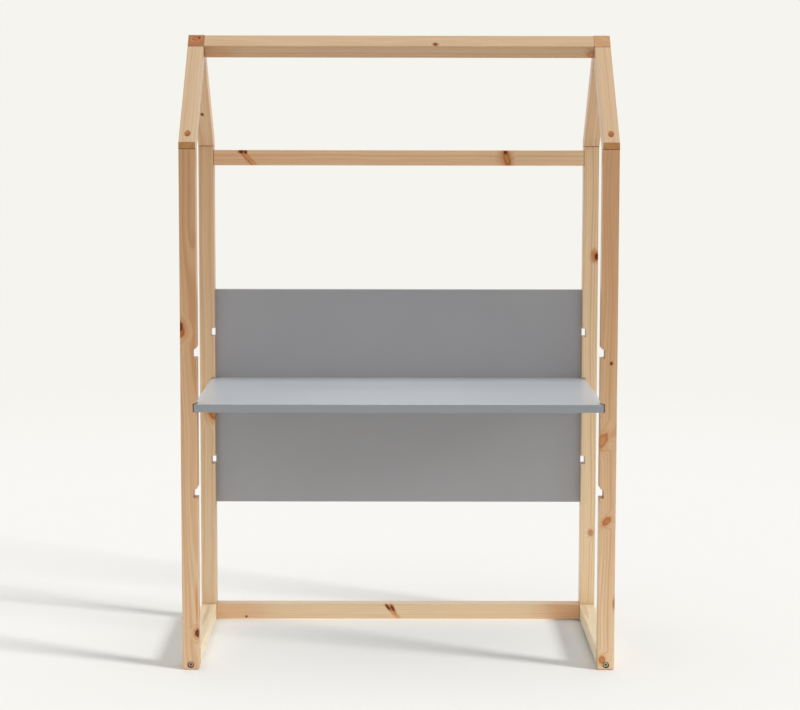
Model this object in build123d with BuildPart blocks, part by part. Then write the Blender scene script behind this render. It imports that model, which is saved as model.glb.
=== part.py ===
from build123d import *
import os
from math import sqrt
from typing import NamedTuple

os.makedirs("parts", exist_ok=True)

# A child's desk in a house-shaped frame of square pine bars, in millimetres.
# X runs across the desk, the sitter is on the -Y side, and Z is up from the floor.
# Two gables (front post, rear post, runner and two rafters each) are joined by a
# ridge beam, an eave rail, a floor rail and a back panel. The desk board lies in
# one of three sets of notches in the posts and slides out towards the sitter.

# Frame
width = 1000
depth = 500
post_height = 1204
bar = 38
edge_radius = 2
foot_radius = 4.5
floor_gap = 4
eave_drop = 10

# Boards
board_thickness = 19
board_edge_radius = 1
panel_thickness = 18
panel_bottom = 302.5
panel_height = 541.5

# Notches in the inner faces of the posts, with the heights of their lower faces
low_seat = 403
middle_seat = 602
high_seat = 727
notch_depth = 10
notch_corner = 1.5
notch_mouth_radius = 6.5
board_end_gap = 2
board_top_gap = 1.5
board_back_gap = 0.5

# Hardware: socket-head bolts, barrel nuts and dowels
bolt_diameter = 6
bolt_hole = 7
bolt_tip = 2
bolt_end_chamfer = 0.6
head_diameter = 12.5
head_height = 4
head_chamfer = 0.5
head_bore = 14
head_bore_depth = 7
socket_width = 4
socket_depth = 2.5
nut_diameter = 10
nut_hole = 10.2
nut_length = 12
nut_slot_width = 1.2
nut_slot_depth = 1.5
dowel_diameter = 8
dowel_hole = 8.2
dowel_length = 30
dowel_end_gap = 0.5
dowel_chamfer = 1

# Places of the hardware in the bars
nut_setback = 22
runner_fixing_edge = 8
rail_fixing_offset = 9.5
panel_bolt_inset = 40
panel_dowel_step = 32
seat_web = 14
seat_nut_drop = 16
seat_dowel_edge = 7.5
apex_bolt_edge = 10
apex_dowel_edge = 9
ridge_bolt_across = 8
ridge_bolt_along = 5
ridge_dowel_across = -10

# Lines that several pieces share
post_x = (width - bar) / 2
post_y = (depth - bar) / 2
inner_x = width / 2 - bar
inner_y = depth / 2 - bar
facet_height = bar * (sqrt(2) - 1)
ridge_height = post_height + facet_height + depth / 2
ridge_center = ridge_height - bar / sqrt(2)
runner_z = floor_gap + bar / 2
eave_z = post_height - eave_drop - bar / 2
panel_top = panel_bottom + panel_height
panel_y = depth / 2 - panel_thickness / 2
seats = (low_seat, middle_seat, high_seat)
notch_height = board_thickness + board_top_gap
board_width = 2 * (inner_x + notch_depth - board_end_gap)
board_depth = depth - panel_thickness - board_back_gap
sides = {"left": -1, "right": 1}
ends = {"front": -1, "rear": 1}

# The two slopes: up_rear follows the front rafters, up_front the rear rafters
up_rear = Vector(0, 1, 1).normalized()
up_front = Vector(0, -1, 1).normalized()

# Cylinders that stand on their plane, or hang from it
up = (Align.CENTER, Align.CENTER, Align.MIN)
down = (Align.CENTER, Align.CENTER, Align.MAX)


def in_ridge(x, along_front_rafter, along_rear_rafter):
    """A point near the ridge, measured from the middle of the ridge beam's section."""
    return Vector(x, 0, ridge_center) + up_rear * along_front_rafter + up_front * along_rear_rafter


class Fixing(NamedTuple):
    """Bolts, barrel nuts and dowels of one kind of joint, each placed by a plane.

    A bolt's plane lies under its head with the normal out of the wood, a nut's has
    the bolt along X and the normal out of its cross hole, and a dowel's is at its
    middle with the normal along it.
    """

    length: float
    bolts: list
    nuts: list
    dowels: list


through_length = bar - head_bore_depth + nut_setback + nut_diameter / 2 + bolt_tip
seat_length = seat_web + seat_nut_drop + nut_diameter / 2 + bolt_tip


def cross_fixing(places, y_dowel, z_dowels, nut_out):
    """Fixings along X, through the outer face of each gable into what joins them."""
    bolts = []
    nuts = []
    dowels = []
    for sx in sides.values():
        out = (sx, 0, 0)
        for y, z in places:
            bolts.append(Plane((sx * (width / 2 - head_bore_depth), y, z), z_dir=out))
            nuts.append(Plane((sx * (inner_x - nut_setback), y, z), x_dir=out, z_dir=nut_out))
        for z in z_dowels:
            dowels.append(Plane((sx * inner_x, y_dowel, z), z_dir=out))
    return Fixing(through_length, bolts, nuts, dowels)


def runner_fixing():
    """Level bolts through the feet of the posts into the ends of the runners."""
    bolts = []
    nuts = []
    dowels = []
    bolt_z = floor_gap + runner_fixing_edge
    dowel_z = floor_gap + bar - runner_fixing_edge
    for sx in sides.values():
        for sy in ends.values():
            x = sx * post_x
            out = (0, sy, 0)
            nut_y = sy * (inner_y - nut_setback)
            bolts.append(Plane((x, sy * (depth / 2 - head_bore_depth), bolt_z), z_dir=out))
            nuts.append(Plane((x, nut_y, bolt_z), x_dir=out, z_dir=(0, 0, -1)))
            dowels.append(Plane((x, sy * inner_y, dowel_z), z_dir=out))
    return Fixing(through_length, bolts, nuts, dowels)


def rafter_fixing():
    """Upright bolts from the slopes of the rafters into the tops of the posts."""
    bolts = []
    nuts = []
    dowels = []
    for sx in sides.values():
        for sy in ends.values():
            x = sx * post_x
            y = sy * post_y
            dowel_y = sy * (inner_y + seat_dowel_edge)
            bolts.append(Plane((x, y, post_height + seat_web), z_dir=(0, 0, 1)))
            nuts.append(Plane((x, y, post_height - seat_nut_drop), x_dir=(0, 0, 1), z_dir=(0, 1, 0)))
            dowels.append(Plane((x, dowel_y, post_height), z_dir=(0, 0, 1)))
    return Fixing(seat_length, bolts, nuts, dowels)


def apex_fixing():
    """Bolts through the top of each rear rafter into the end of the front rafter."""
    bolts = []
    nuts = []
    dowels = []
    bolt_along = apex_bolt_edge - bar / 2
    dowel_along = bar / 2 - apex_dowel_edge
    for sx in sides.values():
        x = sx * post_x
        head = in_ridge(x, bar / 2 - head_bore_depth, bolt_along)
        nut = in_ridge(x, -bar / 2 - nut_setback, bolt_along)
        bolts.append(Plane(head, z_dir=up_rear))
        nuts.append(Plane(nut, x_dir=up_rear, z_dir=-up_front))
        dowels.append(Plane(in_ridge(x, -bar / 2, dowel_along), z_dir=up_rear))
    return Fixing(through_length, bolts, nuts, dowels)


def ridge_fixing():
    """Level bolts through the apex of each gable into the ends of the ridge beam."""
    bolts = []
    nuts = []
    dowels = []
    for sx in sides.values():
        out = (sx, 0, 0)
        head = in_ridge(sx * (width / 2 - head_bore_depth), ridge_bolt_across, ridge_bolt_along)
        nut = in_ridge(sx * (inner_x - nut_setback), ridge_bolt_across, ridge_bolt_along)
        bolts.append(Plane(head, z_dir=out))
        nuts.append(Plane(nut, x_dir=out, z_dir=-up_front))
        dowels.append(Plane(in_ridge(sx * inner_x, ridge_dowel_across, 0), z_dir=out))
    return Fixing(through_length, bolts, nuts, dowels)


rail_bolt_y = post_y + rail_fixing_offset
rail_dowel_y = post_y - rail_fixing_offset
panel_bolts = [(panel_y, panel_bottom + panel_bolt_inset), (panel_y, panel_top - panel_bolt_inset)]
panel_dowels = [z + step for (_, z), step in zip(panel_bolts, (panel_dowel_step, -panel_dowel_step))]

fixings = {
    "runner": runner_fixing(),
    "rafter": rafter_fixing(),
    "apex": apex_fixing(),
    "ridge": ridge_fixing(),
    "eave_rail": cross_fixing([(rail_bolt_y, eave_z)], rail_dowel_y, [eave_z], (0, 0, -1)),
    "floor_rail": cross_fixing([(rail_bolt_y, runner_z)], rail_dowel_y, [runner_z], (0, 0, -1)),
    "panel": cross_fixing(panel_bolts, panel_y, panel_dowels, (0, 1, 0)),
}


def drill(*names):
    """Cut the holes of the named fixings out of the piece that is being built.

    Each head bore and cross hole runs one bar beyond its fixing, so that it opens
    on the face that it is entered from, square or sloping.
    """
    for name in names:
        fixing = fixings[name]
        with Locations(*fixing.bolts):
            Cylinder(head_bore / 2, bar, align=up, mode=Mode.SUBTRACT)
            Cylinder(bolt_hole / 2, fixing.length + bolt_tip, align=down, mode=Mode.SUBTRACT)
        with Locations(*[plane.offset(-nut_length / 2) for plane in fixing.nuts]):
            Cylinder(nut_hole / 2, nut_length / 2 + bar, align=up, mode=Mode.SUBTRACT)
        with Locations(*fixing.dowels):
            Cylinder(dowel_hole / 2, dowel_length + 2 * dowel_end_gap, mode=Mode.SUBTRACT)


# Posts: one at each corner, notched right through from front to back on the inside.
# The front notches have a rounded upper lip, where the board and fingers go in.
for side, sx in sides.items():
    for end, sy in ends.items():
        with BuildPart() as post:
            with BuildSketch():
                with Locations((sx * post_x, sy * post_y)):
                    Rectangle(bar, bar)
            extrude(amount=post_height)
            fillet(post.edges().group_by(Axis.Z)[0], foot_radius)
            fillet(post.edges().filter_by(Axis.Z), edge_radius)
            with BuildSketch(Plane.XZ.offset(-sy * post_y)):
                for seat in seats:
                    with Locations((sx * inner_x, seat + notch_height / 2)):
                        RectangleRounded(2 * notch_depth, notch_height, notch_corner)
            extrude(amount=bar, both=True, mode=Mode.SUBTRACT)
            if end == "front":
                lip = notch_mouth_radius
                with BuildSketch(Plane.XZ.offset(-sy * post_y)):
                    for seat in seats:
                        corner = (sx * inner_x, seat + notch_height)
                        with Locations(corner):
                            Rectangle(2 * lip, 2 * lip)
                        with Locations((corner[0] + sx * lip, corner[1] + lip)):
                            Circle(lip, mode=Mode.SUBTRACT)
                extrude(amount=bar, both=True, mode=Mode.SUBTRACT)
            drill("runner", "rafter")
            if end == "rear":
                drill("eave_rail", "floor_rail", "panel")
        post.part.label = f"{side}_{end}_post"
        export_step(post.part, f"parts/{side}_{end}_post.step")

# Runners: low bars between the feet of each gable, just clear of the floor
for side, sx in sides.items():
    with BuildPart() as runner:
        with BuildSketch(Plane.XZ):
            with Locations((sx * post_x, runner_z)):
                RectangleRounded(bar, bar, edge_radius)
        extrude(amount=inner_y, both=True)
        drill("runner")
    runner.part.label = f"{side}_runner"
    export_step(runner.part, f"parts/{side}_runner.step")

# Rafters: the rear one of each gable runs on to the ridge, the front one butts
# against it. Both sit square on their post and end in a short upright facet.
inner_ridge = ridge_height - bar * sqrt(2)
rafter_end = (-bar / sqrt(2), ridge_center)
front_outline = [
    (-depth / 2, post_height),
    (-depth / 2, post_height + facet_height),
    rafter_end,
    (0, inner_ridge),
    (-inner_y, post_height),
]
rear_outline = [
    (depth / 2, post_height),
    (depth / 2, post_height + facet_height),
    (0, ridge_height),
    rafter_end,
    (inner_y, post_height),
]

for side, sx in sides.items():
    for end, outline, slope in (("front", front_outline, up_rear), ("rear", rear_outline, up_front)):
        with BuildPart() as rafter:
            with BuildSketch(Plane.YZ.offset(sx * post_x)):
                with BuildLine():
                    Polyline(*outline, close=True)
                make_face()
            extrude(amount=bar / 2, both=True)
            fillet(rafter.edges().filter_by(Axis((0, 0, 0), slope)), edge_radius)
            drill("rafter", "apex")
            if end == "rear":
                drill("ridge")
        rafter.part.label = f"{side}_{end}_rafter"
        export_step(rafter.part, f"parts/{side}_{end}_rafter.step")

# Ridge beam: a bar set on edge between the gables, in line with both slopes
with BuildPart() as ridge_beam:
    with BuildSketch(Plane.YZ):
        with Locations((0, ridge_center)):
            RectangleRounded(bar, bar, edge_radius, rotation=45)
    extrude(amount=inner_x, both=True)
    drill("ridge")
ridge_beam.part.label = "ridge_beam"
export_step(ridge_beam.part, "parts/ridge_beam.step")

# Rails between the rear posts, one just under the eaves and one at the floor
for name, rail_z in (("eave_rail", eave_z), ("floor_rail", runner_z)):
    with BuildPart() as rail:
        with BuildSketch(Plane.YZ):
            with Locations((post_y, rail_z)):
                RectangleRounded(bar, bar, edge_radius)
        extrude(amount=inner_x, both=True)
        drill(name)
    rail.part.label = name
    export_step(rail.part, f"parts/{name}.step")

# Back panel: between the rear posts, level with their rear faces
with BuildPart() as back_panel:
    with BuildSketch(Plane.XZ.offset(-panel_y)):
        with Locations((0, panel_bottom)):
            Rectangle(2 * inner_x, panel_height, align=(Align.CENTER, Align.MIN))
    extrude(amount=panel_thickness / 2, both=True)
    fillet(back_panel.edges().filter_by(Axis.X), board_edge_radius)
    drill("panel")
back_panel.part.label = "back_panel"
export_step(back_panel.part, "parts/back_panel.step")

# Desk board: its ends lie in the middle notches, its front is level with the posts
with BuildPart() as desk_board:
    with BuildSketch(Plane.XY.offset(middle_seat)):
        with Locations((0, -depth / 2)):
            Rectangle(board_width, board_depth, align=(Align.CENTER, Align.MIN))
    extrude(amount=board_thickness)
    fillet(desk_board.edges(), board_edge_radius)
desk_board.part.label = "desk_board"
export_step(desk_board.part, "parts/desk_board.step")

# Hardware: each kind of joint has its bolts, its barrel nuts and its dowels
for name, fixing in fixings.items():
    with BuildPart() as bolts:
        with Locations(*[plane.offset(head_height / 2) for plane in fixing.bolts]):
            Cylinder(bolt_diameter / 2, head_height / 2 + fixing.length, align=down)
        chamfer(bolts.edges().filter_by(GeomType.CIRCLE), bolt_end_chamfer)
        with Locations(*fixing.bolts):
            Cylinder(head_diameter / 2, head_height, align=up)
        rims = bolts.edges().filter_by(GeomType.CIRCLE)
        chamfer(rims.filter_by(lambda rim: rim.radius > bolt_diameter / 2), head_chamfer)
        with BuildSketch(*[plane.offset(head_height) for plane in fixing.bolts]):
            RegularPolygon(socket_width / 2, 6, major_radius=False)
        extrude(amount=-socket_depth, mode=Mode.SUBTRACT)
    bolts.part.label = f"{name}_bolts"
    export_step(bolts.part, f"parts/{name}_bolts.step")

    with BuildPart() as nuts:
        with Locations(*fixing.nuts):
            Cylinder(nut_diameter / 2, nut_length)
            Cylinder(bolt_diameter / 2, nut_diameter, rotation=(0, 90, 0), mode=Mode.SUBTRACT)
        with Locations(*[plane.offset(nut_length / 2) for plane in fixing.nuts]):
            Box(nut_diameter, nut_slot_width, 2 * nut_slot_depth, mode=Mode.SUBTRACT)
    nuts.part.label = f"{name}_barrel_nuts"
    export_step(nuts.part, f"parts/{name}_barrel_nuts.step")

    with BuildPart() as dowels:
        with Locations(*fixing.dowels):
            Cylinder(dowel_diameter / 2, dowel_length)
        chamfer(dowels.edges().filter_by(GeomType.CIRCLE), dowel_chamfer)
    dowels.part.label = f"{name}_dowels"
    export_step(dowels.part, f"parts/{name}_dowels.step")
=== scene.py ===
"""Looks of the house-shaped desk: lacquered pine, grey boards, zinc bolts and a pale studio."""

from __future__ import annotations

import logging
import math
from dataclasses import dataclass
from enum import Enum
from typing import Any

import bmesh
import bpy
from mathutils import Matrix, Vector


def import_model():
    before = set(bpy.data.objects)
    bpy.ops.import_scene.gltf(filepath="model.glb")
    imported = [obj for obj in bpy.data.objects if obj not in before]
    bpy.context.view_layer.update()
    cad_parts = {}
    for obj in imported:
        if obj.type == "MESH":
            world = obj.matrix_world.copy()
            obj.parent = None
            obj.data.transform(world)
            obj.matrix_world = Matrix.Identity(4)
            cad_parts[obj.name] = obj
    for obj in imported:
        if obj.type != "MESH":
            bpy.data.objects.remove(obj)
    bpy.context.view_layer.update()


logger = logging.getLogger("house_desk")

MM = 0.001

# The Mix node has one set of sockets for each kind of value, and these are its colour ones
MIX_A = 6
MIX_B = 7
MIX_COLOUR = 2

# The log: how far it bends in mm, how often in a metre across and along it, and the width in mm
# of what changes from year to year, of its cool and warm bands and of its fine streaks
LOG_BEND = 20.0
LOG_BENDS = (6.0, 6.0, 1.6)
YEARS_WIDTH = 11.0
BANDS_WIDTH = 9.0
FIBRE_WIDTH = 1.6

# A year, from 0 to 1: where its late wood sets in and is full, and where it ends and starts to end
LATE_WOOD = (0.3, 0.88)
YEAR_END = (1.0, 0.92)

# Marks in the wood, in distances that are 1 at a mark's rim. A reach is where something sets in
# and where it is full
RAGGED_RIM = 0.35
RAGGED_SCALE = 1.3
KNOT_REACH = (3.4, 0.5)
KNOT_PUSH = 0.9
KNOT_YEARS = 19.0
KNOT_WAVE = 0.3
KNOT_HEART = (0.95, 0.45)
HALO_REACH = (2.3, 0.9)
HALO_STRENGTH = 0.6

Socket = bpy.types.NodeSocket
Tree = bpy.types.NodeTree
Point = tuple[float, float, float]


def linear(colour: str) -> tuple[float, float, float, float]:
    """Turns an sRGB hex colour to the linear values that a shader takes.

    Args:
        colour: six hex digits after a hash sign.

    Returns:
        Red, green and blue from 0 to 1, and an alpha of 1.
    """
    parts = [int(colour[i : i + 2], 16) / 255 for i in (1, 3, 5)]
    red, green, blue = (p / 12.92 if p <= 0.04045 else ((p + 0.055) / 1.055) ** 2.4 for p in parts)
    return red, green, blue, 1.0


def add_node(
    tree: Tree, kind: str, sockets: dict[str | int, Any] | None = None, **settings: Any
) -> bpy.types.Node:
    """Adds a node to a tree with its settings and what goes into its sockets.

    Args:
        tree: the node tree of a material or of the world.
        kind: the node's type, without the words ShaderNode.
        sockets: what each input holds, by name or number. A socket is linked, and a value is set.
        **settings: the node's own options, such as operation.

    Returns:
        The new node.
    """
    node = tree.nodes.new("ShaderNode" + kind)
    for name, value in settings.items():
        setattr(node, name, value)
    for key, value in (sockets or {}).items():
        if isinstance(value, Socket):
            tree.links.new(value, node.inputs[key])
        else:
            node.inputs[key].default_value = value
    return node


def new_material(name: str) -> tuple[bpy.types.Material, Tree]:
    """Makes an empty node material.

    Args:
        name: the material's name.

    Returns:
        The material and its node tree, with no nodes in it.
    """
    material = bpy.data.materials.new(name)
    material.use_nodes = True
    material.node_tree.nodes.clear()
    return material, material.node_tree


def dress(node: str, material: bpy.types.Material) -> None:
    """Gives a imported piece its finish.

    Args:
        node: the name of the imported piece.
        material: what goes into each of its slots.
    """
    for slot in packed()[node].material_slots:
        slot.material = material
    logger.info("%s is dressed in %s", node, material.name)


def packed() -> dict[str, bpy.types.Object]:
    """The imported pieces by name."""
    meshes = [o for o in bpy.data.objects if o.type == "MESH"]
    return {o.name: o for o in meshes if not o.name.startswith("studio")}


class Run(Enum):
    """Which way a bar runs, as the turn that takes its grain from straight up to there."""

    UPRIGHT = (0.0, 0.0, 0.0)
    ACROSS = (0.0, math.pi / 2, 0.0)
    INWARD = (-math.pi / 2, 0.0, 0.0)
    FRONT_SLOPE = (-math.pi / 4, 0.0, 0.0)
    REAR_SLOPE = (math.pi / 4, 0.0, 0.0)


class MarkKind(Enum):
    """What a mark in the wood is, or the painted shade in and round a bore.

    The values are the colours of its rim, its heart and the wood round it, and how soft its edge is.
    """

    LIVE_KNOT = ("#8A3A0E", "#C87434", "#D28A4A", 0.22)
    DEAD_KNOT = ("#461C00", "#7E3600", "#BE6A2C", 0.22)
    LEAF_KNOT = ("#9A5018", "#D08A4A", "#D28A4A", 0.22)
    RESIN = ("#C47032", "#C9803A", "#D28A4A", 0.6)
    # Painted shade and bounce light: the deeper orange of the wall inside a rafter's upright bore
    SHADED_BORE_WALL = ("#D9A26E", "#DDAA78", "#D9A26E", 0.04)
    # Painted shade: the dark wood in the recess round a runner bolt's head
    SHADED_BOLT_RECESS = ("#4A2A18", "#4A2A18", "#4A2A18", 0.06)

    @property
    def is_bore(self) -> bool:
        """Whether it is painted shade in and round a drilled hole, with a clean edge."""
        return self in (MarkKind.SHADED_BORE_WALL, MarkKind.SHADED_BOLT_RECESS)

    @property
    def is_knot(self) -> bool:
        """Whether it is a knot, which bends the rings and stains the wood round it."""
        return self is not MarkKind.RESIN and not self.is_bore


@dataclass(frozen=True)
class Mark:
    """A knot that the saw went through, a resin streak, or painted shade in and round a bore.

    Attributes:
        kind: what it is.
        place: its middle, in mm.
        size: half its width, half its depth and half its height, in mm.
        turn: how far it is turned about Y, in radians.
        strength: how much of it shows, from 0 to 1.
    """

    kind: MarkKind
    place: Point
    size: Point
    turn: float = 0.0
    strength: float = 1.0


@dataclass(frozen=True)
class Seam:
    """A joint between two bars, where the lacquer leaves a dark line.

    Attributes:
        normal: the normal of the joint's plane.
        at: how far the plane is from the origin, in mm. The plane on the other side counts too.
        width: half the line's width, in mm.
    """

    normal: Point
    at: float
    width: float = 1.1


@dataclass(frozen=True)
class Pine:
    """Planed Scots pine under clear satin lacquer.

    The eye gets pale yellow early wood between thin orange late wood lines, darker ends with rings,
    a few brown knots that the lines flow round, and a soft sheen.

    Attributes:
        pith: where the log's pith lies from the bar's middle, in mm.
        seed: which piece of the noise bends this log.
        warmth: how far the ground is from the early to the warm colour.
        drift: how much the warmth grows per metre along the bar.
        tone: how light the bar is, 1 as written.
        line: how much the late wood lines show, from 0 to 1.
        lean: how far the pith leans, in mm per metre, which makes arched grain.
        marks: its knots, resin streaks and the painted shade of its bores.
        ring: the width of a year, in mm, about twice the real one so that it shows.
        early: the colour of early wood.
        warm: the colour of early wood in the warm bands.
        late: the colour of late wood.
        end_tint: what darkens the sawn ends.
        seam_tint: what darkens the joints.
        roughness: the wood's own roughness.
        specular: the wood's own gloss.
        coat: how much lacquer lies on it.
        coat_roughness: the lacquer's roughness, which is satin.
    """

    pith: tuple[float, float]
    seed: float
    warmth: float = 0.5
    drift: float = 0.0
    tone: float = 1.0
    line: float = 0.35
    lean: float = 0.0
    marks: tuple[Mark, ...] = ()
    ring: float = 2.7
    early: str = "#E6CAA4"
    warm: str = "#D5A579"
    late: str = "#B07F52"
    end_tint: str = "#E3C29C"
    seam_tint: str = "#A06A40"
    roughness: float = 0.38
    specular: float = 0.3
    coat: float = 0.15
    coat_roughness: float = 0.25

    def material(
        self, name: str, run: Run, centre: Point, seams: tuple[Seam, ...]
    ) -> bpy.types.Material:
        """Makes one bar's own pine.

        Args:
            name: the bar's name.
            run: which way the bar runs.
            centre: the bar's middle, in m.
            seams: where the bar meets others.

        Returns:
            The material.
        """
        material, tree = new_material("satin_lacquered_pine_" + name)
        place = add_node(tree, "TexCoord").outputs["Object"]
        grain = add_node(
            tree,
            "Mapping",
            {"Vector": place, "Location": centre, "Rotation": run.value},
            vector_type="TEXTURE",
        ).outputs["Vector"]
        push, spots = self.spots(tree, place)
        radius = self.radius(tree, grain, push)
        rings = self.rings(tree, radius)
        fibre = self.fibre(tree, grain)
        colour = self.wood(tree, grain, radius, rings, fibre)
        ended = add_node(
            tree,
            "Mix",
            {0: self.end_mask(tree, run), MIX_A: colour, MIX_B: linear(self.end_tint)},
            data_type="RGBA",
            blend_type="MULTIPLY",
        )
        colour = ended.outputs[MIX_COLOUR]
        for spot, mark in zip(spots, self.marks):
            colour = self.mark_colour(tree, colour, spot, mark)
        for seam in seams:
            colour = self.seam_colour(tree, colour, place, seam)
        height = add_node(tree, "Math", {0: rings, 1: 0.5, 2: fibre}, operation="MULTIPLY_ADD")
        bump = add_node(
            tree, "Bump", {"Strength": 0.3, "Distance": 0.12 * MM, "Height": height.outputs[0]}
        )
        rough = add_node(
            tree,
            "MapRange",
            {"Value": fibre, "To Min": self.roughness - 0.06, "To Max": self.roughness + 0.06},
        )
        shader = add_node(
            tree,
            "BsdfPrincipled",
            {
                "Base Color": colour,
                "Roughness": rough.outputs[0],
                "Specular IOR Level": self.specular,
                "Coat Weight": self.coat,
                "Coat Roughness": self.coat_roughness,
                "Normal": bump.outputs[0],
            },
        )
        add_node(tree, "OutputMaterial", {"Surface": shader.outputs[0]})
        return material

    def spots(self, tree: Tree, place: Socket) -> tuple[Socket | float, list[Socket]]:
        """Works out how far each point is from each mark, and how the knots bend the rings.

        Args:
            tree: the material's node tree.
            place: the point on the object.

        Returns:
            How far the rings are pushed out in m, and for each mark a distance that is 1 at its rim.
        """
        push: Socket | float = 0.0
        spots = []
        for mark in self.marks:
            local = add_node(
                tree,
                "Mapping",
                {
                    "Vector": place,
                    "Location": [v * MM for v in mark.place],
                    "Rotation": (0.0, mark.turn, 0.0),
                    "Scale": [v * MM for v in mark.size],
                },
                vector_type="TEXTURE",
            ).outputs[0]
            away = add_node(tree, "VectorMath", {0: local}, operation="LENGTH").outputs["Value"]
            if mark.kind.is_bore:
                spots.append(away)
                continue
            ragged = add_node(tree, "TexNoise", {"Vector": local, "Scale": RAGGED_SCALE})
            rim = add_node(
                tree,
                "MapRange",
                {"Value": ragged.outputs[0], "To Min": -RAGGED_RIM, "To Max": RAGGED_RIM},
            )
            spots.append(add_node(tree, "Math", {0: away, 1: rim.outputs[0]}).outputs[0])
            if mark.kind.is_knot:
                swell = add_node(
                    tree,
                    "MapRange",
                    {
                        "Value": away,
                        "From Min": KNOT_REACH[0],
                        "From Max": KNOT_REACH[1],
                        "To Max": mark.size[0] * KNOT_PUSH * MM,
                    },
                    interpolation_type="SMOOTHERSTEP",
                )
                push = add_node(tree, "Math", {0: swell.outputs[0], 1: push}).outputs[0]
        return push, spots

    def mark_colour(self, tree: Tree, colour: Socket, spot: Socket, mark: Mark) -> Socket:
        """Draws one mark over the wood.

        Args:
            tree: the material's node tree.
            colour: the wood's colour.
            spot: the distance from the mark, 1 at its rim.
            mark: the mark.

        Returns:
            The colour with the mark.
        """
        *colours, soft = mark.kind.value
        rim_colour, heart_colour, halo_colour = (linear(c) for c in colours)
        inside = add_node(
            tree,
            "MapRange",
            {
                "Value": spot,
                "From Min": 1.0 + soft,
                "From Max": 1.0 - soft,
                "To Max": mark.strength,
            },
            interpolation_type="SMOOTHSTEP",
        )
        years = add_node(tree, "Math", {0: spot, 1: KNOT_YEARS}, operation="MULTIPLY")
        wave = add_node(tree, "Math", {0: years.outputs[0]}, operation="SINE")
        core = add_node(
            tree,
            "MapRange",
            {"Value": spot, "From Min": KNOT_HEART[0], "From Max": KNOT_HEART[1]},
        )
        heart = add_node(
            tree,
            "Math",
            {0: wave.outputs[0], 1: KNOT_WAVE, 2: core.outputs[0]},
            operation="MULTIPLY_ADD",
            use_clamp=True,
        )
        if mark.kind.is_knot:
            halo = add_node(
                tree,
                "MapRange",
                {
                    "Value": spot,
                    "From Min": HALO_REACH[0],
                    "From Max": HALO_REACH[1],
                    "To Max": HALO_STRENGTH * mark.strength,
                },
                interpolation_type="SMOOTHSTEP",
            )
            colour = add_node(
                tree,
                "Mix",
                {0: halo.outputs[0], MIX_A: colour, MIX_B: halo_colour},
                data_type="RGBA",
            ).outputs[MIX_COLOUR]
        own = add_node(
            tree,
            "Mix",
            {0: heart.outputs[0], MIX_A: rim_colour, MIX_B: heart_colour},
            data_type="RGBA",
        )
        return add_node(
            tree,
            "Mix",
            {0: inside.outputs[0], MIX_A: colour, MIX_B: own.outputs[MIX_COLOUR]},
            data_type="RGBA",
        ).outputs[MIX_COLOUR]

    def seam_colour(self, tree: Tree, colour: Socket, place: Socket, seam: Seam) -> Socket:
        """Darkens the wood along a joint.

        Args:
            tree: the material's node tree.
            colour: the wood's colour.
            place: the point on the object.
            seam: the joint.

        Returns:
            The colour with the dark line.
        """
        along = add_node(
            tree, "VectorMath", {0: place, 1: seam.normal}, operation="DOT_PRODUCT"
        )
        both = add_node(tree, "Math", {0: along.outputs["Value"]}, operation="ABSOLUTE")
        off = add_node(tree, "Math", {0: both.outputs[0], 1: seam.at * MM}, operation="SUBTRACT")
        gap = add_node(tree, "Math", {0: off.outputs[0]}, operation="ABSOLUTE")
        line = add_node(
            tree,
            "MapRange",
            {
                "Value": gap.outputs[0],
                "From Min": seam.width * MM,
                "From Max": 0.4 * seam.width * MM,
            },
            interpolation_type="SMOOTHSTEP",
        )
        return add_node(
            tree,
            "Mix",
            {0: line.outputs[0], MIX_A: colour, MIX_B: linear(self.seam_tint)},
            data_type="RGBA",
            blend_type="MULTIPLY",
        ).outputs[MIX_COLOUR]

    def radius(self, tree: Tree, grain: Socket, push: Socket | float) -> Socket:
        """Finds how far a point is from the log's pith, with the log's own bends.

        Args:
            tree: the material's node tree.
            grain: the point in the bar's own frame, with its length along Z.
            push: how far the knots push the rings out.

        Returns:
            The distance in m.
        """
        slow = add_node(
            tree,
            "Mapping",
            {"Vector": grain, "Location": (self.seed, -self.seed, 0.0), "Scale": LOG_BENDS},
        )
        bends = add_node(
            tree, "TexNoise", {"Vector": slow.outputs[0], "Scale": 1.0, "Detail": 2.0}
        )
        length = add_node(tree, "SeparateXYZ", {0: grain}).outputs["Z"]
        leant = add_node(
            tree,
            "VectorMath",
            {0: length, 1: (0.0, self.lean * MM, 0.0), 2: grain},
            operation="MULTIPLY_ADD",
        )
        bend = add_node(
            tree,
            "VectorMath",
            {0: bends.outputs["Color"], 1: (LOG_BEND * MM, LOG_BEND * MM, 0.0), 2: leant.outputs[0]},
            operation="MULTIPLY_ADD",
        )
        middle = [(v + LOG_BEND / 2) * MM for v in self.pith]
        from_pith = add_node(
            tree, "VectorMath", {0: bend.outputs[0], 1: (*middle, 0.0)}, operation="SUBTRACT"
        )
        flat = add_node(
            tree, "VectorMath", {0: from_pith.outputs[0], 1: (1.0, 1.0, 0.0)}, operation="MULTIPLY"
        )
        away = add_node(tree, "VectorMath", {0: flat.outputs[0]}, operation="LENGTH")
        return add_node(tree, "Math", {0: away.outputs["Value"], 1: push}).outputs[0]

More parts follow.
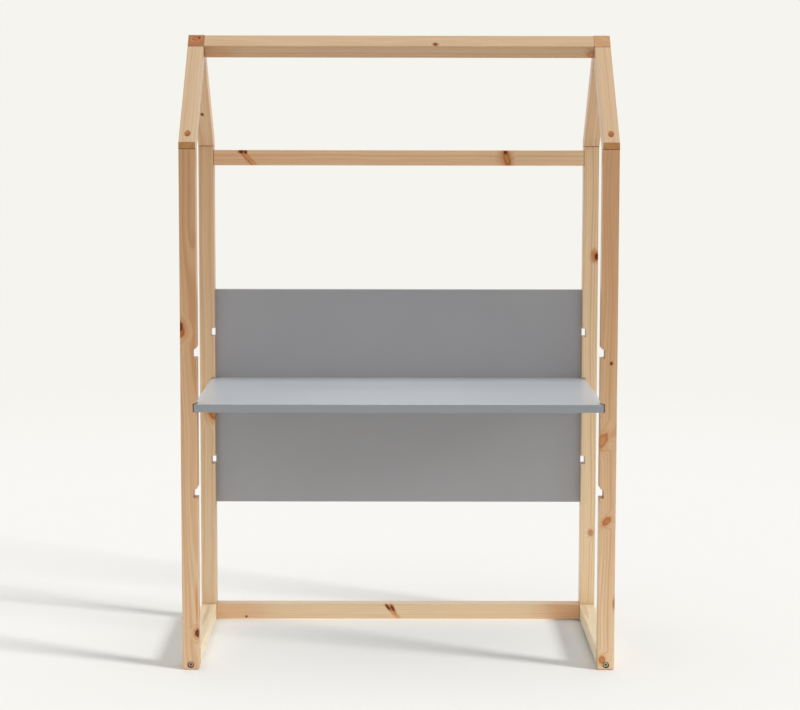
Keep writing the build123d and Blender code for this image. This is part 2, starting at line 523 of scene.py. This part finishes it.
    def rings(self, tree: Tree, radius: Socket) -> Socket:
        """Draws the late wood line of each year.

        Args:
            tree: the material's node tree.
            radius: the distance from the pith.

        Returns:
            A value that climbs to 1 at the end of each year and drops back at once.
        """
        years = add_node(
            tree,
            "TexNoise",
            {"W": radius, "Scale": 1 / (YEARS_WIDTH * MM), "Detail": 1.0},
            noise_dimensions="1D",
        )
        count = add_node(
            tree,
            "Math",
            {0: radius, 1: 1 / (self.ring * MM), 2: years.outputs[0]},
            operation="MULTIPLY_ADD",
        )
        season = add_node(tree, "Math", {0: count.outputs[0]}, operation="FRACT").outputs[0]
        climb = add_node(
            tree,
            "MapRange",
            {"Value": season, "From Min": LATE_WOOD[0], "From Max": LATE_WOOD[1]},
            interpolation_type="SMOOTHSTEP",
        )
        drop = add_node(
            tree,
            "MapRange",
            {"Value": season, "From Min": YEAR_END[0], "From Max": YEAR_END[1]},
        )
        line = add_node(
            tree, "Math", {0: climb.outputs[0], 1: drop.outputs[0]}, operation="MULTIPLY"
        )
        strong = add_node(
            tree,
            "MapRange",
            {"Value": years.outputs[0], "From Min": 0.35, "From Max": 0.65, "To Min": 0.35},
        )
        return add_node(
            tree, "Math", {0: line.outputs[0], 1: strong.outputs[0]}, operation="MULTIPLY"
        ).outputs[0]

    def fibre(self, tree: Tree, grain: Socket) -> Socket:
        """Draws the fine streaks along the grain, coarser than real fibres so that they show.

        Args:
            tree: the material's node tree.
            grain: the point in the bar's own frame.

        Returns:
            A value from 0 to 1.
        """
        fine = 1 / (FIBRE_WIDTH * MM)
        stretched = add_node(tree, "Mapping", {"Vector": grain, "Scale": (fine, fine, 9.0)})
        return add_node(
            tree, "TexNoise", {"Vector": stretched.outputs[0], "Scale": 1.0, "Detail": 3.0}
        ).outputs[0]

    def wood(
        self, tree: Tree, grain: Socket, radius: Socket, rings: Socket, fibre: Socket
    ) -> Socket:
        """Mixes the colour of the clear wood.

        Args:
            tree: the material's node tree.
            grain: the point in the bar's own frame.
            radius: the distance from the pith.
            rings: how much late wood is here.
            fibre: the fine streaks.

        Returns:
            The colour.
        """
        bands = add_node(
            tree,
            "TexNoise",
            {"W": radius, "Scale": 1 / (BANDS_WIDTH * MM), "Detail": 2.0},
            noise_dimensions="1D",
        )
        band = add_node(
            tree,
            "MapRange",
            {
                "Value": bands.outputs[0],
                "From Min": 0.36,
                "From Max": 0.64,
                "To Min": self.warmth - 0.25,
                "To Max": self.warmth + 0.25,
            },
        )
        length = add_node(tree, "SeparateXYZ", {0: grain}).outputs["Z"]
        warm = add_node(
            tree,
            "Math",
            {0: length, 1: self.drift, 2: band.outputs[0]},
            operation="MULTIPLY_ADD",
            use_clamp=True,
        )
        ground = add_node(
            tree,
            "Mix",
            {0: warm.outputs[0], MIX_A: linear(self.early), MIX_B: linear(self.warm)},
            data_type="RGBA",
        )
        late = add_node(tree, "Math", {0: rings, 1: self.line}, operation="MULTIPLY")
        ringed = add_node(
            tree,
            "Mix",
            {0: late.outputs[0], MIX_A: ground.outputs[MIX_COLOUR], MIX_B: linear(self.late)},
            data_type="RGBA",
        )
        streak = add_node(
            tree,
            "MapRange",
            {
                "Value": fibre,
                "From Min": 0.3,
                "From Max": 0.7,
                "To Min": self.tone * 0.93,
                "To Max": self.tone * 1.05,
            },
        )
        return add_node(
            tree,
            "VectorMath",
            {0: ringed.outputs[MIX_COLOUR], "Scale": streak.outputs[0]},
            operation="SCALE",
        ).outputs[0]

    def end_mask(self, tree: Tree, run: Run) -> Socket:
        """Finds the sawn ends, where the wood drinks more lacquer and looks darker.

        Args:
            tree: the material's node tree.
            run: which way the bar runs.

        Returns:
            1 on an end, whether square or mitred, and 0 on a side.
        """
        normal = add_node(tree, "TexCoord").outputs["Normal"]
        turned = add_node(
            tree, "Mapping", {"Vector": normal, "Rotation": run.value}, vector_type="TEXTURE"
        )
        along = add_node(tree, "SeparateXYZ", {0: turned.outputs[0]}).outputs["Z"]
        size = add_node(tree, "Math", {0: along}, operation="ABSOLUTE")
        return add_node(
            tree,
            "MapRange",
            {"Value": size.outputs[0], "From Min": 0.5, "From Max": 0.69},
        ).outputs[0]


@dataclass(frozen=True)
class GreyPaint:
    """Satin acrylic paint, sprayed on board: an even cool grey with a very fine orange peel.

    Attributes:
        colour: the paint's colour.
        roughness: its roughness.
        peel: the width of its grain, in mm.
    """

    colour: str
    roughness: float = 0.3
    peel: float = 1.8

    def material(self, name: str) -> bpy.types.Material:
        """Makes the paint of one board.

        Args:
            name: the board's name.

        Returns:
            The material.
        """
        material, tree = new_material("satin_grey_acrylic_paint_" + name)
        place = add_node(tree, "TexCoord").outputs["Object"]
        peel = add_node(tree, "TexNoise", {"Vector": place, "Scale": 1 / (self.peel * MM)})
        cloud = add_node(tree, "TexNoise", {"Vector": place, "Scale": 9.0, "Detail": 3.0})
        shade = add_node(
            tree, "MapRange", {"Value": cloud.outputs[0], "To Min": 0.97, "To Max": 1.03}
        )
        colour = add_node(
            tree,
            "VectorMath",
            {0: linear(self.colour)[:3], "Scale": shade.outputs[0]},
            operation="SCALE",
        )
        rough = add_node(
            tree,
            "MapRange",
            {
                "Value": cloud.outputs[0],
                "To Min": self.roughness - 0.05,
                "To Max": self.roughness + 0.05,
            },
        )
        bump = add_node(
            tree, "Bump", {"Strength": 0.12, "Distance": 0.05 * MM, "Height": peel.outputs[0]}
        )
        shader = add_node(
            tree,
            "BsdfPrincipled",
            {
                "Base Color": colour.outputs[0],
                "Roughness": rough.outputs[0],
                "Normal": bump.outputs[0],
            },
        )
        add_node(tree, "OutputMaterial", {"Surface": shader.outputs[0]})
        return material


@dataclass(frozen=True)
class Zinc:
    """Steel with pale passivated zinc: a bright cool metal with faint pink and green clouds.

    Attributes:
        green: the tint of the heads on the right.
        pink: the tint that clouds the heads on the left.
        socket_shade: the colour of the painted shade in the sockets of the runner bolts.
        socket: the middle of such a socket, in mm, with every sign left out.
        socket_reach: how far the painted shade goes, in mm.
        roughness: the plating's roughness.
    """

    green: str = "#B6BE9A"
    pink: str = "#CBA59B"
    # Painted shade in the runner bolts' sockets
    socket_shade: str = "#2A231C"
    socket: Point = (481.0, 246.0, 12.0)
    socket_reach: float = 2.7
    roughness: float = 0.3

    def material(self) -> bpy.types.Material:
        """Makes the plating."""
        material, tree = new_material("passivated_zinc_on_steel")
        place = add_node(tree, "TexCoord").outputs["Object"]
        cloud = add_node(tree, "TexNoise", {"Vector": place, "Scale": 1 / (4 * MM)})
        fine = add_node(tree, "TexNoise", {"Vector": place, "Scale": 1 / (0.5 * MM)})
        across = add_node(tree, "SeparateXYZ", {0: place}).outputs["X"]
        batch = add_node(
            tree, "MapRange", {"Value": across, "From Min": 0.4, "From Max": -0.4}
        )
        lean = add_node(tree, "Math", {0: cloud.outputs[0], 1: 0.5}, operation="SUBTRACT")
        tint = add_node(
            tree, "Math", {0: lean.outputs[0], 1: batch.outputs[0]}, use_clamp=True
        )
        plate = add_node(
            tree,
            "Mix",
            {0: tint.outputs[0], MIX_A: linear(self.green), MIX_B: linear(self.pink)},
            data_type="RGBA",
        )
        half = add_node(tree, "VectorMath", {0: place}, operation="ABSOLUTE")
        from_socket = add_node(
            tree,
            "VectorMath",
            {0: half.outputs[0], 1: [v * MM for v in self.socket]},
            operation="DISTANCE",
        )
        # Painted shade: the runner bolts' sockets go dark towards their middles
        socket_shade_mask = add_node(
            tree,
            "MapRange",
            {
                "Value": from_socket.outputs["Value"],
                "From Min": self.socket_reach * 1.2 * MM,
                "From Max": self.socket_reach * 0.8 * MM,
                "To Max": 0.9,
            },
        )
        colour = add_node(
            tree,
            "Mix",
            {0: socket_shade_mask.outputs[0], MIX_A: plate.outputs[MIX_COLOUR], MIX_B: linear(self.socket_shade)},
            data_type="RGBA",
        )
        rough = add_node(
            tree,
            "MapRange",
            {
                "Value": fine.outputs[0],
                "To Min": self.roughness - 0.1,
                "To Max": self.roughness + 0.1,
            },
        )
        bump = add_node(
            tree, "Bump", {"Strength": 0.2, "Distance": 0.03 * MM, "Height": fine.outputs[0]}
        )
        shader = add_node(
            tree,
            "BsdfPrincipled",
            {
                "Base Color": colour.outputs[MIX_COLOUR],
                "Metallic": 1.0,
                "Roughness": rough.outputs[0],
                "Normal": bump.outputs[0],
            },
        )
        add_node(tree, "OutputMaterial", {"Surface": shader.outputs[0]})
        return material


@dataclass(frozen=True)
class Beech:
    """Turned beech, unfinished: a pinkish tan with short brown flecks.

    Attributes:
        ground: the wood's colour.
        fleck: its flecks' colour.
    """

    ground: str = "#D9AE84"
    fleck: str = "#A97248"

    def material(self) -> bpy.types.Material:
        """Makes the wood."""
        material, tree = new_material("turned_beech")
        place = add_node(tree, "TexCoord").outputs["Object"]
        flecks = add_node(
            tree, "TexVoronoi", {"Vector": place, "Scale": 1 / (1.5 * MM)}, feature="F1"
        )
        mask = add_node(
            tree,
            "MapRange",
            {"Value": flecks.outputs["Distance"], "From Min": 0.25, "From Max": 0.1, "To Max": 0.6},
        )
        colour = add_node(
            tree,
            "Mix",
            {0: mask.outputs[0], MIX_A: linear(self.ground), MIX_B: linear(self.fleck)},
            data_type="RGBA",
        )
        bump = add_node(
            tree, "Bump", {"Strength": 0.3, "Distance": 0.1 * MM, "Height": mask.outputs[0]}
        )
        shader = add_node(
            tree,
            "BsdfPrincipled",
            {
                "Base Color": colour.outputs[MIX_COLOUR],
                "Roughness": 0.6,
                "Normal": bump.outputs[0],
            },
        )
        add_node(tree, "OutputMaterial", {"Surface": shader.outputs[0]})
        return material


@dataclass
class Gable:
    """One side of the house: two posts, the runner between their feet and two rafters.

    Attributes:
        side: left or right.
        x: the middle of its bars, in m.
        front_post, rear_post, runner, front_rafter, rear_rafter: the wood of each bar.
        bar_y: how far the posts' middles are from the desk's middle, in m.
        post_top: the height of the posts, in mm.
        runner_end: how far the runner's ends are from the desk's middle, in mm.
        butt: the plane on which the front rafter meets the rear one, in mm from the origin.
    """

    side: str
    x: float
    front_post: Pine
    rear_post: Pine
    runner: Pine
    front_rafter: Pine
    rear_rafter: Pine
    bar_y: float = 0.231
    post_top: float = 1204.0
    runner_end: float = 212.0
    butt: float = 1001.3

    def build(self) -> None:
        """Dresses the gable's bars."""
        post_top = Seam((0.0, 0.0, 1.0), self.post_top)
        runner_ends = Seam((0.0, 1.0, 0.0), self.runner_end)
        butt = Seam((0.0, math.sqrt(0.5), math.sqrt(0.5)), self.butt, 2.6)
        bars = {
            "front_post": (self.front_post, Run.UPRIGHT, -self.bar_y, 0.6, (post_top,)),
            "rear_post": (self.rear_post, Run.UPRIGHT, self.bar_y, 0.6, (post_top,)),
            "runner": (self.runner, Run.INWARD, 0.0, 0.023, (runner_ends,)),
            "front_rafter": (self.front_rafter, Run.FRONT_SLOPE, -0.12, 1.33, (post_top, butt)),
            "rear_rafter": (self.rear_rafter, Run.REAR_SLOPE, 0.12, 1.33, (post_top,)),
        }
        for name, (pine, run, y, z, seams) in bars.items():
            full = f"{self.side}_{name}"
            dress(full, pine.material(full, run, (self.x, y, z), seams))


@dataclass
class Crossbars:
    """The three bars that join the gables.

    Attributes:
        ridge_beam: the wood of the bar at the top.
        eave_rail: the wood of the bar between the rear posts' tops.
        floor_rail: the wood of the bar between the rear posts' feet.
        end: how far the bars' ends are from the desk's middle, in mm.
    """

    ridge_beam: Pine
    eave_rail: Pine
    floor_rail: Pine
    end: float = 462.0

    def build(self) -> None:
        """Dresses the bars."""
        ends = (Seam((1.0, 0.0, 0.0), self.end),)
        bars = {
            "ridge_beam": (self.ridge_beam, (0.0, 0.0, 1.44)),
            "eave_rail": (self.eave_rail, (0.0, 0.231, 1.175)),
            "floor_rail": (self.floor_rail, (0.0, 0.231, 0.023)),
        }
        for name, (pine, centre) in bars.items():
            dress(name, pine.material(name, Run.ACROSS, centre, ends))


@dataclass
class Boards:
    """The grey back panel and the grey desk board.

    Attributes:
        panel: the paint of the back panel.
        desk: the paint of the desk board.
    """

    panel: GreyPaint
    desk: GreyPaint

    def build(self) -> None:
        """Paints both boards."""
        dress("back_panel", self.panel.material("back_panel"))
        dress("desk_board", self.desk.material("desk_board"))


@dataclass
class Fastenings:
    """The bolts, their barrel nuts and the dowels of every joint.

    Attributes:
        joints: what each joint's pieces are named after.
    """

    joints: tuple[str, ...] = (
        "runner",
        "rafter",
        "apex",
        "ridge",
        "eave_rail",
        "floor_rail",
        "panel",
    )

    def build(self) -> None:
        """Dresses the fastenings."""
        zinc = Zinc().material()
        beech = Beech().material()
        for joint in self.joints:
            dress(f"{joint}_bolts", zinc)
            dress(f"{joint}_barrel_nuts", zinc)
            dress(f"{joint}_dowels", beech)


@dataclass(frozen=True)
class Lamp:
    """One soft and distant lamp.

    Attributes:
        name: the lamp's name.
        strength: its light on a face that looks at it, in W per square metre.
        width: how wide it looks from the object, in degrees.
        towards: the direction from the object to the lamp.
    """

    name: str
    strength: float
    width: float
    towards: Point

    def hang(self) -> bpy.types.Object:
        """Hangs the lamp where it points at the object."""
        data = bpy.data.lights.new(self.name, "SUN")
        data.energy = self.strength
        data.angle = math.radians(self.width)
        lamp = bpy.data.objects.new(self.name, data)
        towards = Vector(self.towards)
        lamp.rotation_euler = towards.to_track_quat("Z", "Y").to_euler()
        lamp.location = towards * 4
        bpy.context.scene.collection.objects.link(lamp)
        logger.info("%s hangs", self.name)
        return lamp


@dataclass
class Studio:
    """A pale floor, soft lamps, a pale world and the camera.

    Attributes:
        background: what the lens and the gloss see behind everything.
        floor_seen: the floor's colour for the lens.
        floor_gloss: the floor's colour in the gloss of the object.
        floor_near: what the floor bounces onto the object from nearby.
        floor_far: what it bounces from further out.
        pool_inner: where the near colour starts to turn into the far one, in m.
        pool_outer: where it has turned, in m.
        floor_radius: the floor's radius, in m.
        floor_fade: where the floor starts to fade into the world, in m.
        room_strength: the even light of the room.
        dark_side: how much of the background the gloss sees behind the camera.
        low, high: the floor's lamps, one for the bars' long shadows and one for soft ones.
        side, top, front: the lamps on the frame and the panel.
        desk: the lamp on the desk board.
        camera_place: where the camera stands, in m.
        camera_turn: how it is turned, in radians.
        lens: its focal length, in mm.
        shift_down: its lens shift.
    """

    background: str = "#F5F4EF"
    floor_seen: str = "#D6D5D2"
    floor_gloss: str = "#C8C8C6"
    floor_near: str = "#F2F2EF"
    floor_far: str = "#8C8C8A"
    pool_inner: float = 1.0
    pool_outer: float = 2.4
    floor_radius: float = 6.0
    floor_fade: float = 2.2
    room_strength: float = 0.38
    dark_side: float = 0.2
    low: Lamp = Lamp("floor_low_lamp", 3.4, 13.0, (0.797, -0.355, 0.454))
    high: Lamp = Lamp("floor_high_lamp", 1.65, 70.0, (0.0, 0.0, 1.0))
    side: Lamp = Lamp("side_lamp", 0.7, 16.0, (0.87, -0.18, 0.45))
    top: Lamp = Lamp("top_lamp", 1.45, 130.0, (0.0, -0.1, 1.0))
    desk: Lamp = Lamp("desk_lamp", 4.15, 50.0, (0.0, 0.0, 1.0))
    front: Lamp = Lamp("front_lamp", 0.12, 60.0, (0.05, -1.0, 0.3))
    camera_place: Point = (-0.00888, -4.81089, 1.27454)
    camera_turn: Point = (math.pi / 2 - 0.09187, -0.00167, -0.0023)
    lens: float = 90.43
    shift_down: float = 0.065

    def build(self) -> None:
        """Makes the whole studio."""
        pieces = packed()
        bars = [o for n, o in pieces.items() if n not in ("desk_board", "back_panel", "floor_rail")]
        frame = [o for n, o in pieces.items() if n != "desk_board"]
        floor = self.floor()
        self.world()
        hung = [
            lamp.hang()
            for lamp in (self.low, self.high, self.side, self.top, self.desk, self.front)
        ]
        low, high, side, top, desk, front = hung
        self.link_light(low, [floor], bars)
        self.link_light(high, [floor], bars)
        self.link_light(side, frame, [])
        self.link_light(front, frame, [])
        self.link_light(desk, [pieces["desk_board"]], [])
        self.link_light(top, frame, [])
        self.camera()

    def floor(self) -> bpy.types.Object:
        """Lays the floor, which fades into the world a few metres out."""
        shape = bmesh.new()
        bmesh.ops.create_circle(shape, cap_ends=True, segments=96, radius=self.floor_radius)
        mesh = bpy.data.meshes.new("studio_floor")
        shape.to_mesh(mesh)
        shape.free()
        floor = bpy.data.objects.new("studio_floor", mesh)
        bpy.context.scene.collection.objects.link(floor)
        material, tree = new_material("matt_studio_paint")
        place = add_node(tree, "TexCoord").outputs["Object"]
        out = add_node(tree, "VectorMath", {0: place}, operation="LENGTH")
        fade = add_node(
            tree,
            "MapRange",
            {
                "Value": out.outputs["Value"],
                "From Min": self.floor_fade,
                "From Max": self.floor_radius - 0.3,
            },
            interpolation_type="SMOOTHSTEP",
        )
        pool = add_node(
            tree,
            "MapRange",
            {
                "Value": out.outputs["Value"],
                "From Min": self.pool_inner,
                "From Max": self.pool_outer,
            },
            interpolation_type="SMOOTHSTEP",
        )
        bounced = add_node(
            tree,
            "Mix",
            {0: pool.outputs[0], MIX_A: linear(self.floor_near), MIX_B: linear(self.floor_far)},
            data_type="RGBA",
        )
        rays = add_node(tree, "LightPath")
        shiny = add_node(
            tree,
            "Mix",
            {
                0: rays.outputs["Is Glossy Ray"],
                MIX_A: bounced.outputs[MIX_COLOUR],
                MIX_B: linear(self.floor_gloss),
            },
            data_type="RGBA",
        )
        seen = add_node(
            tree,
            "Mix",
            {
                0: rays.outputs["Is Camera Ray"],
                MIX_A: shiny.outputs[MIX_COLOUR],
                MIX_B: linear(self.floor_seen),
            },
            data_type="RGBA",
        )
        paint = add_node(tree, "BsdfDiffuse", {"Color": seen.outputs[MIX_COLOUR]})
        clear = add_node(tree, "BsdfTransparent")
        both = add_node(
            tree,
            "MixShader",
            {0: fade.outputs[0], 1: paint.outputs[0], 2: clear.outputs[0]},
        )
        add_node(tree, "OutputMaterial", {"Surface": both.outputs[0]})
        mesh.materials.append(material)
        return floor

    def world(self) -> None:
        """Sets the background that the lens and the gloss see, and the even light of the room."""
        world = bpy.data.worlds.new("studio_room")
        bpy.context.scene.world = world
        world.use_nodes = True
        tree = world.node_tree
        tree.nodes.clear()
        rays = add_node(tree, "LightPath")
        through = add_node(
            tree,
            "Math",
            {0: rays.outputs["Is Glossy Ray"], 1: rays.outputs["Is Transmission Ray"]},
            operation="MAXIMUM",
        )
        way = add_node(
            tree, "SeparateXYZ", {0: add_node(tree, "TexCoord").outputs["Generated"]}
        )
        back = add_node(
            tree,
            "MapRange",
            {
                "Value": way.outputs["Y"],
                "From Min": -0.7,
                "From Max": 0.1,
                "To Min": self.dark_side,
            },
            interpolation_type="SMOOTHSTEP",
        )
        light = add_node(
            tree, "Background", {"Color": linear("#FFFFFF"), "Strength": self.room_strength}
        )
        gloss = add_node(
            tree,
            "Background",
            {"Color": linear(self.background), "Strength": back.outputs[0]},
        )
        pale = add_node(tree, "Background", {"Color": linear(self.background)})
        dull = add_node(
            tree, "MixShader", {0: through.outputs[0], 1: light.outputs[0], 2: gloss.outputs[0]}
        )
        both = add_node(
            tree,
            "MixShader",
            {0: rays.outputs["Is Camera Ray"], 1: dull.outputs[0], 2: pale.outputs[0]},
        )
        add_node(tree, "OutputWorld", {"Surface": both.outputs[0]})

    def link_light(
        self,
        lamp: bpy.types.Object,
        lit: list[bpy.types.Object],
        blocking: list[bpy.types.Object],
    ) -> None:
        """Limits what a lamp lights and what casts its shadow.

        Args:
            lamp: the lamp.
            lit: what it lights.
            blocking: what casts its shadow, or nothing where everything does.
        """
        receivers = bpy.data.collections.new(lamp.name + "_lights")
        for thing in lit:
            receivers.objects.link(thing)
        lamp.light_linking.receiver_collection = receivers
        if blocking:
            blockers = bpy.data.collections.new(lamp.name + "_shadows")
            for thing in blocking:
                blockers.objects.link(thing)
            lamp.light_linking.blocker_collection = blockers

    def camera(self) -> None:
        """Sets the camera where the photograph was taken from."""
        data = bpy.data.cameras.new("camera")
        data.lens = self.lens
        data.shift_y = -self.shift_down
        camera = bpy.data.objects.new("camera", data)
        camera.location = self.camera_place
        camera.rotation_euler = self.camera_turn
        bpy.context.scene.collection.objects.link(camera)
        bpy.context.scene.camera = camera
        bpy.context.scene.view_settings.view_transform = "Standard"


# The runners are paler and yellower than the other bars
RUNNER_WOOD = {
    "warmth": 0.15,
    "tone": 1.3,
    "line": 0.25,
    "lean": 30.0,
    "early": "#E6D6B8",
    "warm": "#DFC494",
    "late": "#C8A068",
}


def left_gable() -> Gable:
    """Chooses the wood of the left gable's bars, with their knots."""
    # Painted shade and bounce light on the wall inside the rafter's upright bore
    bore = Mark(MarkKind.SHADED_BORE_WALL, (-481.0, -231.0, 1240.0), (7.5, 7.5, 40.0))
    return Gable(
        side="left",
        x=-0.481,
        front_post=Pine(
            pith=(20.0, 70.0),
            seed=1.0,
            warmth=0.72,
            drift=0.45,
            tone=0.97,
            line=0.45,
            lean=10.0,
            marks=(
                Mark(MarkKind.LIVE_KNOT, (-500.0, -250.0, 787.0), (11.0, 20.0, 12.0)),
                Mark(MarkKind.DEAD_KNOT, (-502.0, -250.0, 799.0), (9.0, 20.0, 12.0)),
                Mark(MarkKind.RESIN, (-466.0, -250.0, 150.0), (2.5, 10.0, 50.0), strength=0.65),
                Mark(MarkKind.DEAD_KNOT, (-464.0, -250.0, 86.0), (6.5, 16.0, 9.0)),
                # Painted shade in the recess round the runner bolt's head
                Mark(MarkKind.SHADED_BOLT_RECESS, (-481.0, -250.0, 12.0), (7.7, 9.0, 7.7)),
            ),
        ),
        rear_post=Pine(
            pith=(-60.0, 30.0),
            seed=2.0,
            warmth=0.3,
            drift=0.5,
            tone=1.06,
            line=0.5,
            marks=(Mark(MarkKind.LEAF_KNOT, (-462.0, 212.0, 534.0), (19.0, 15.0, 17.0), 0.6),),
        ),
        runner=Pine(
            pith=(40.0, 30.0),
            seed=3.0,
            **RUNNER_WOOD,
            marks=(Mark(MarkKind.RESIN, (-478.0, 110.0, 42.0), (5.0, 95.0, 14.0), 0.0, 0.35),),
        ),
        front_rafter=Pine(
            pith=(50.0, 50.0), seed=4.0, warmth=0.3, tone=0.945, line=0.22, marks=(bore,)
        ),
        rear_rafter=Pine(
            pith=(-30.0, 60.0),
            seed=5.0,
            warmth=0.55,
            tone=1.14,
            line=0.25,
            end_tint="#C0966A",
            marks=(
                Mark(MarkKind.DEAD_KNOT, (-482.0, 134.0, 1282.0), (3.5, 4.0, 4.5)),
                Mark(MarkKind.LIVE_KNOT, (-481.0, -8.0, 1461.0), (10.0, 8.0, 6.0), turn=-0.4),
                Mark(MarkKind.DEAD_KNOT, (-474.0, -8.0, 1463.0), (3.5, 8.0, 3.0)),
            ),
        ),
    )


def right_gable() -> Gable:
    """Chooses the wood of the right gable's bars, with their knots."""
    # Painted shade and bounce light on the wall inside the rafter's upright bore
    bore = Mark(MarkKind.SHADED_BORE_WALL, (481.0, -231.0, 1240.0), (7.5, 7.5, 40.0))
    return Gable(
        side="right",
        x=0.481,
        front_post=Pine(
            pith=(-30.0, 60.0),
            seed=11.0,
            warmth=0.7,
            drift=0.8,
            tone=1.0,
            line=0.32,
            marks=(
                Mark(MarkKind.DEAD_KNOT, (486.0, -250.0, 716.0), (3.0, 8.0, 4.0)),
                Mark(MarkKind.LEAF_KNOT, (466.0, -250.0, 536.0), (10.0, 20.0, 20.0), 0.6, 0.8),
                Mark(MarkKind.LIVE_KNOT, (479.0, -250.0, 350.0), (7.0, 18.0, 12.0), 0.8, 0.8),
                Mark(MarkKind.LIVE_KNOT, (500.0, -250.0, 156.0), (4.5, 14.0, 12.0), strength=0.7),
                Mark(MarkKind.LIVE_KNOT, (472.0, -250.0, 24.0), (7.0, 16.0, 9.0), strength=0.8),
                # Painted shade in the recess round the runner bolt's head
                Mark(MarkKind.SHADED_BOLT_RECESS, (481.0, -250.0, 12.0), (7.7, 9.0, 7.7)),
            ),
        ),
        rear_post=Pine(
            pith=(40.0, 60.0),
            seed=12.0,
            warmth=0.1,
            drift=0.4,
            tone=1.13,
            marks=(
                Mark(MarkKind.RESIN, (490.0, 212.0, 931.0), (9.0, 16.0, 17.0), strength=0.8),
                Mark(MarkKind.DEAD_KNOT, (496.0, 212.0, 929.0), (5.0, 10.0, 8.0)),
                Mark(MarkKind.LIVE_KNOT, (488.0, 212.0, 227.0), (6.0, 12.0, 8.0), strength=0.6),
            ),
        ),
        runner=Pine(
            pith=(-35.0, 40.0),
            seed=13.0,
            **RUNNER_WOOD,
            marks=(Mark(MarkKind.RESIN, (470.0, 150.0, 42.0), (6.0, 60.0, 14.0), 0.0, 0.3),),
        ),
        front_rafter=Pine(
            pith=(-45.0, 60.0), seed=14.0, warmth=0.35, tone=0.98, line=0.22, marks=(bore,)
        ),
        rear_rafter=Pine(
            pith=(30.0, 45.0), seed=15.0, warmth=0.6, tone=1.14, line=0.25, end_tint="#E7D7C2"
        ),
    )


def crossbars() -> Crossbars:
    """Chooses the wood of the bars between the gables, with their knots."""
    return Crossbars(
        ridge_beam=Pine(
            pith=(50.0, 50.0),
            seed=6.0,
            warmth=0.5,
            tone=0.96,
            line=0.2,
            marks=(
                Mark(MarkKind.RESIN, (-450.0, -16.0, 1426.0), (60.0, 30.0, 14.0), strength=0.4),
                Mark(MarkKind.DEAD_KNOT, (86.0, -18.0, 1447.0), (6.0, 8.0, 4.0)),
                Mark(MarkKind.LEAF_KNOT, (458.0, -10.0, 1424.0), (13.0, 10.0, 8.0), strength=0.6),
            ),
        ),
        eave_rail=Pine(
            pith=(50.0, -60.0),
            seed=7.0,
            warmth=0.55,
            drift=-0.4,
            tone=1.15,
            line=0.2,
            marks=(
                Mark(MarkKind.RESIN, (-378.0, 212.0, 1171.0), (3.5, 10.0, 26.0), -0.74, 0.9),
                Mark(MarkKind.RESIN, (-369.0, 212.0, 1172.0), (2.5, 10.0, 26.0), -0.74, 0.7),
                Mark(MarkKind.DEAD_KNOT, (-393.0, 212.0, 1190.0), (6.0, 12.0, 4.0)),
                Mark(MarkKind.DEAD_KNOT, (-382.0, 212.0, 1189.0), (3.5, 12.0, 4.5)),
                Mark(MarkKind.RESIN, (266.0, 212.0, 1176.0), (19.0, 14.0, 22.0), strength=0.5),
                Mark(MarkKind.LEAF_KNOT, (270.0, 212.0, 1172.0), (7.5, 14.0, 20.0), -0.25),
                Mark(MarkKind.DEAD_KNOT, (266.0, 212.0, 1189.0), (4.5, 14.0, 4.0)),
            ),
        ),
        floor_rail=Pine(
            pith=(60.0, 50.0),
            seed=8.0,
            warmth=-0.1,
            line=0.22,
            marks=(
                Mark(MarkKind.RESIN, (-462.0, 212.0, 23.0), (130.0, 40.0, 60.0), strength=0.3),
                Mark(MarkKind.RESIN, (462.0, 212.0, 23.0), (90.0, 40.0, 60.0), strength=0.45),
                Mark(MarkKind.DEAD_KNOT, (-386.0, 212.0, 10.0), (2.5, 8.0, 2.5)),
                Mark(MarkKind.RESIN, (-14.0, 212.0, 24.0), (5.5, 10.0, 24.0), -0.7, 0.8),
                Mark(MarkKind.DEAD_KNOT, (-26.0, 212.0, 34.0), (3.2, 10.0, 9.0), -0.7),
                Mark(MarkKind.DEAD_KNOT, (-14.0, 212.0, 32.0), (3.4, 10.0, 9.0), -0.5),
            ),
        ),
    )


def main() -> None:
    """Loads the frame and builds everything round it."""
    logging.basicConfig(level=logging.INFO, format="%(name)s: %(message)s")
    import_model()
    left_gable().build()
    right_gable().build()
    crossbars().build()
    Boards(panel=GreyPaint("#A6A5A7"), desk=GreyPaint("#A1A6AB")).build()
    Fastenings().build()
    Studio().build()


if __name__ == "__main__":
    main()
